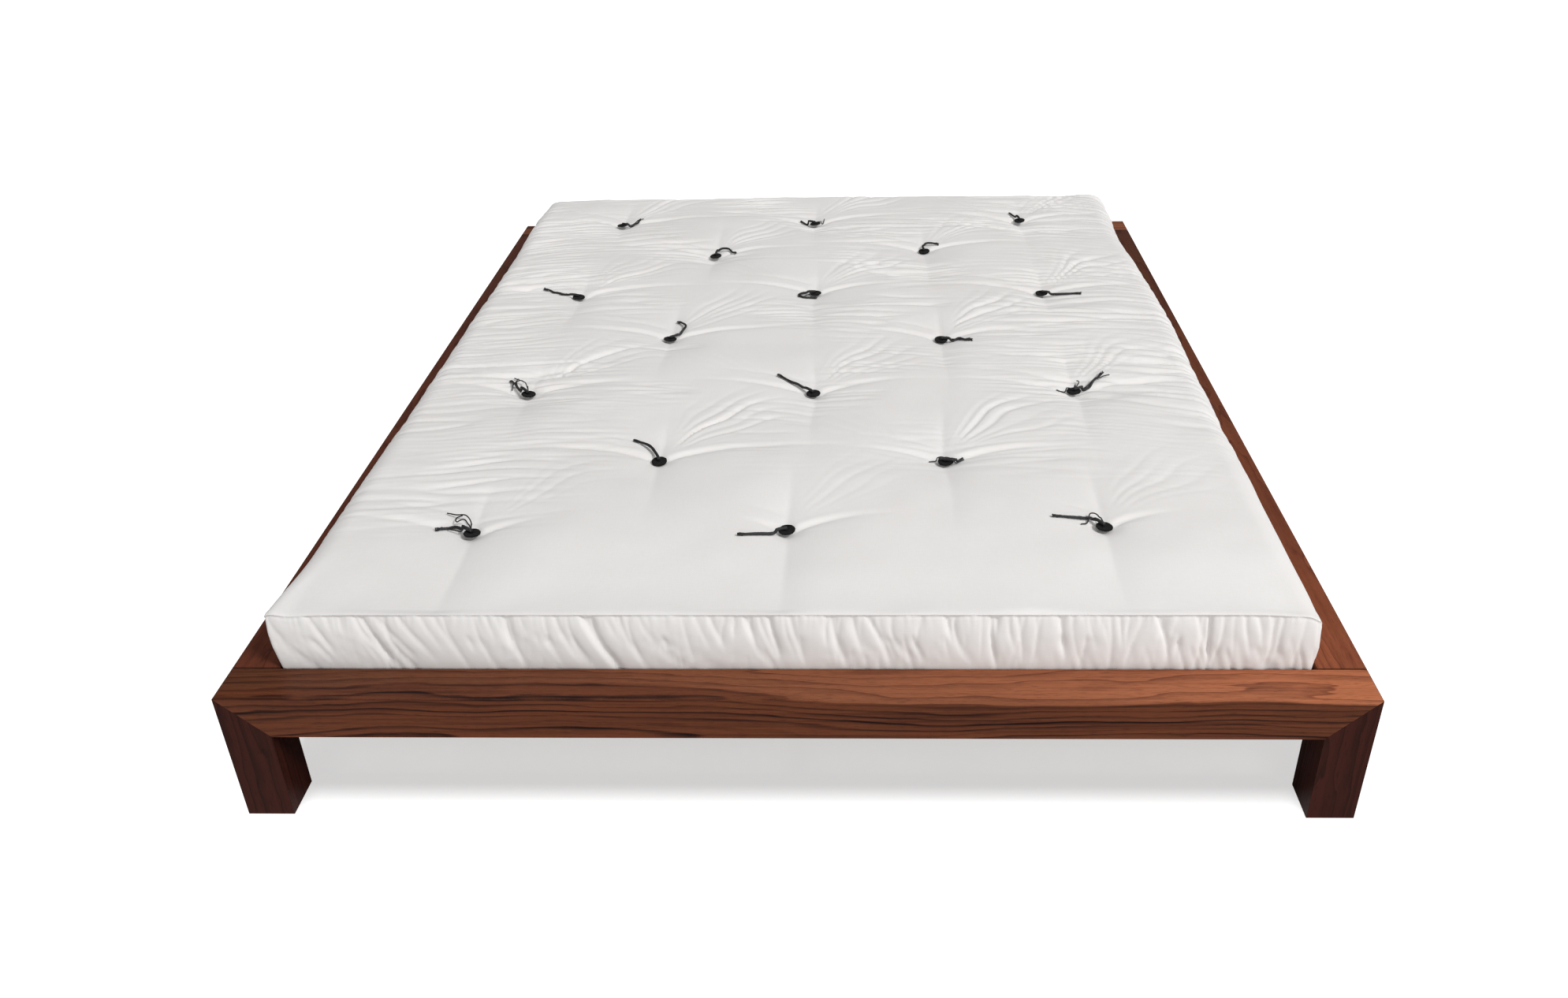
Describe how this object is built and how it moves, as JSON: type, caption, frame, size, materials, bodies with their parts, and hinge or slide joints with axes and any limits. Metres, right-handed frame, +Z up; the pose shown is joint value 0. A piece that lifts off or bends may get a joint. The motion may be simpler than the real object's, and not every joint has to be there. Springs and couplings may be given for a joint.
{
  "type": "platform bed frame with futon",
  "caption": "Low platform bed: square hardwood rails and mitred end frames, slatted base on a centre beam, and a tufted cotton futon that lifts off.",
  "frame": {"origin": "on the floor, under the middle of the bed", "axes": "+X across the bed, to the right seen from the foot end; +Y along the bed to the head end; +Z up"},
  "size_m": [1.75, 2.15, 0.3553],
  "materials": {
    "walnut": "satin",
    "pine": "matte",
    "steel": "satin",
    "cotton": "matte",
    "felt": "matte"
  },
  "bodies": {
    "bed_frame": {"foot_rail": "walnut", "foot_leg_left": "walnut", "foot_leg_right": "walnut", "head_rail": "walnut", "head_leg_left": "walnut", "head_leg_right": "walnut", "side_rail_left": "walnut", "side_rail_right": "walnut", "mitre_tongue_foot_left": "pine", "mitre_tongue_foot_right": "pine", "mitre_tongue_head_left": "pine", "mitre_tongue_head_right": "pine", "strike_plate_foot_left": "steel", "strike_plate_foot_right": "steel", "strike_plate_head_left": "steel", "strike_plate_head_right": "steel", "hook_plate_foot_left": "steel", "hook_plate_foot_right": "steel", "hook_plate_head_left": "steel", "hook_plate_head_right": "steel", "slat_ledge_left": "pine", "slat_ledge_right": "pine", "slat_01": "pine", "slat_02": "pine", "slat_03": "pine", "slat_04": "pine", "slat_05": "pine", "slat_06": "pine", "slat_07": "pine", "slat_08": "pine", "slat_09": "pine", "slat_10": "pine", "slat_11": "pine", "slat_12": "pine", "slat_13": "pine", "centre_beam": "pine", "centre_leg": "pine", "beam_hanger_foot": "steel", "beam_hanger_head": "steel"},
    "futon": {"futon_mattress": "cotton", "tuft_disc_01": "felt", "tuft_disc_02": "felt", "tuft_disc_03": "felt", "tuft_disc_04": "felt", "tuft_disc_05": "felt", "tuft_disc_06": "felt", "tuft_disc_07": "felt", "tuft_disc_08": "felt", "tuft_disc_09": "felt", "tuft_disc_10": "felt", "tuft_disc_11": "felt", "tuft_disc_12": "felt", "tuft_disc_13": "felt", "tuft_disc_14": "felt", "tuft_disc_15": "felt", "tuft_disc_16": "felt", "tuft_disc_17": "felt", "tuft_disc_18": "felt"}
  },
  "joints": [
    {"name": "futon_lift", "type": "slide", "parent": "bed_frame", "child": "futon", "axis": [0, 0, 1], "range_m": [0, 0.35]}
  ]
}
